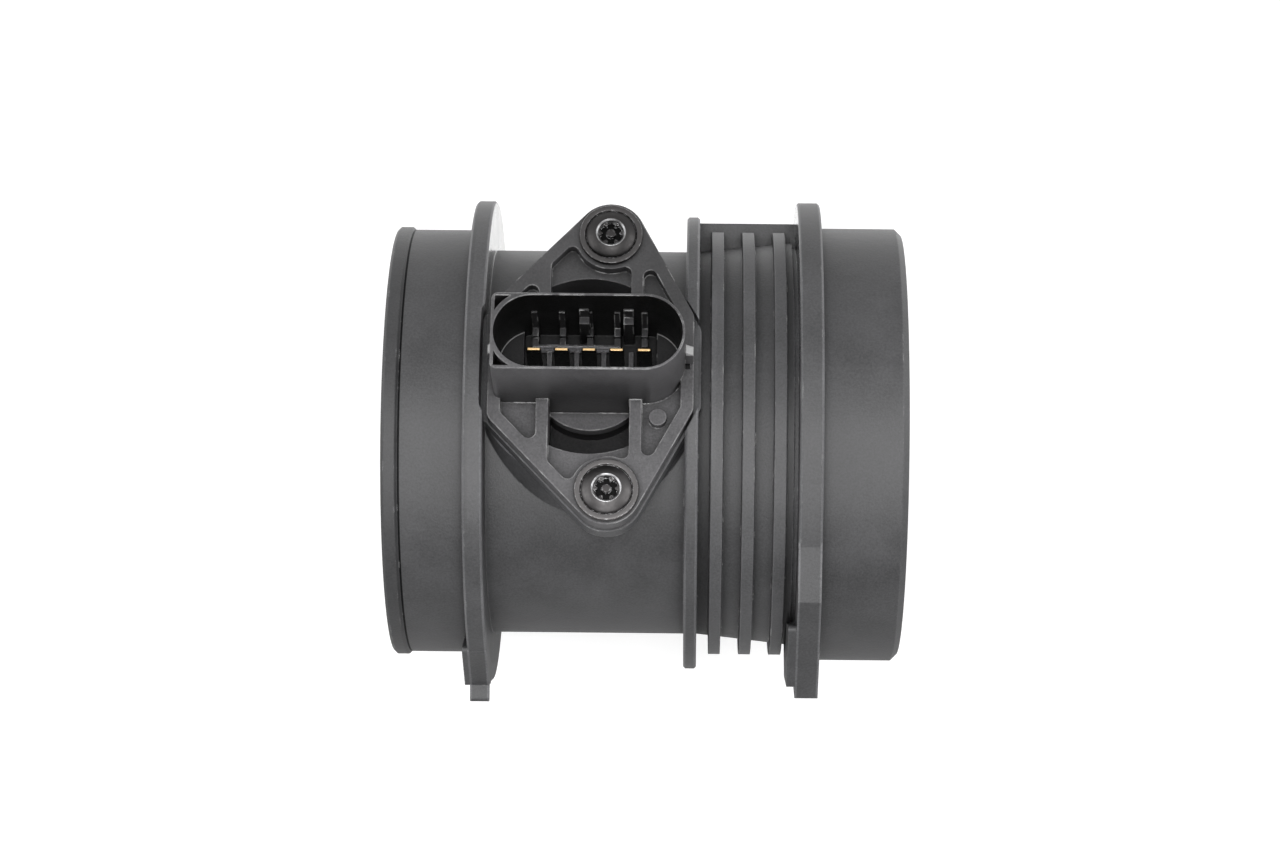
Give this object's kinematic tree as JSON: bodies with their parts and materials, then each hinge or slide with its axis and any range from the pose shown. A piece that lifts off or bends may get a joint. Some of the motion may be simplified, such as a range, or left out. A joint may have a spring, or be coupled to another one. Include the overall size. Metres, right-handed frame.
{
  "type": "mass airflow sensor",
  "caption": "Round moulded air duct with end flanges and stiffening rings, and a plug-in hot-film probe with a screwed flange and an oval blade socket.",
  "frame": {"origin": "on the duct axis, in the plane of the inlet flange's outer face, where the inlet spigot starts", "axes": "+X along the duct axis out of the inlet; +Z out of the duct along the plug-in sensor; +Y from the lower screw to the upper screw"},
  "size_m": [0.0986, 0.1016, 0.1068],
  "materials": {
    "housing_plastic": "grained, matt",
    "sensor_plastic": "fine grain, slightly satin",
    "grid_plastic": "smooth moulded",
    "cover_plastic": "smooth moulded",
    "screen_wire": "drawn wire",
    "seal_rubber": "smooth moulded",
    "carrier_metal": "rolled",
    "board_ceramic": "fired, matt",
    "chip_black": "moulded, matt",
    "capacitor_ceramic": "fired, satin",
    "chip_silicon": "polished",
    "thermistor_glaze": "glazed",
    "terminal_brass": "bright, plated tips",
    "screw_steel": "dark zinc plate"
  },
  "bodies": {
    "root": {"duct_housing": "housing_plastic", "flow_honeycomb": "grid_plastic", "inlet_screen": "screen_wire", "screen_ring": "housing_plastic", "sensor_body": "sensor_plastic", "probe_seal": "seal_rubber", "electronics_cover": "cover_plastic", "bypass_cover": "cover_plastic", "carrier_plate": "carrier_metal", "circuit_board": "board_ceramic", "evaluation_chip": "chip_black", "capacitors": "capacitor_ceramic", "bond_ribbons": "carrier_metal", "sensor_chip": "chip_silicon", "temperature_sensor": "thermistor_glaze", "flange_screw_upper": "screw_steel", "flange_screw_lower": "screw_steel", "terminal_1": "terminal_brass", "terminal_2": "terminal_brass", "terminal_3": "terminal_brass", "terminal_4": "terminal_brass", "terminal_5": "terminal_brass"}
  },
  "joints": []
}
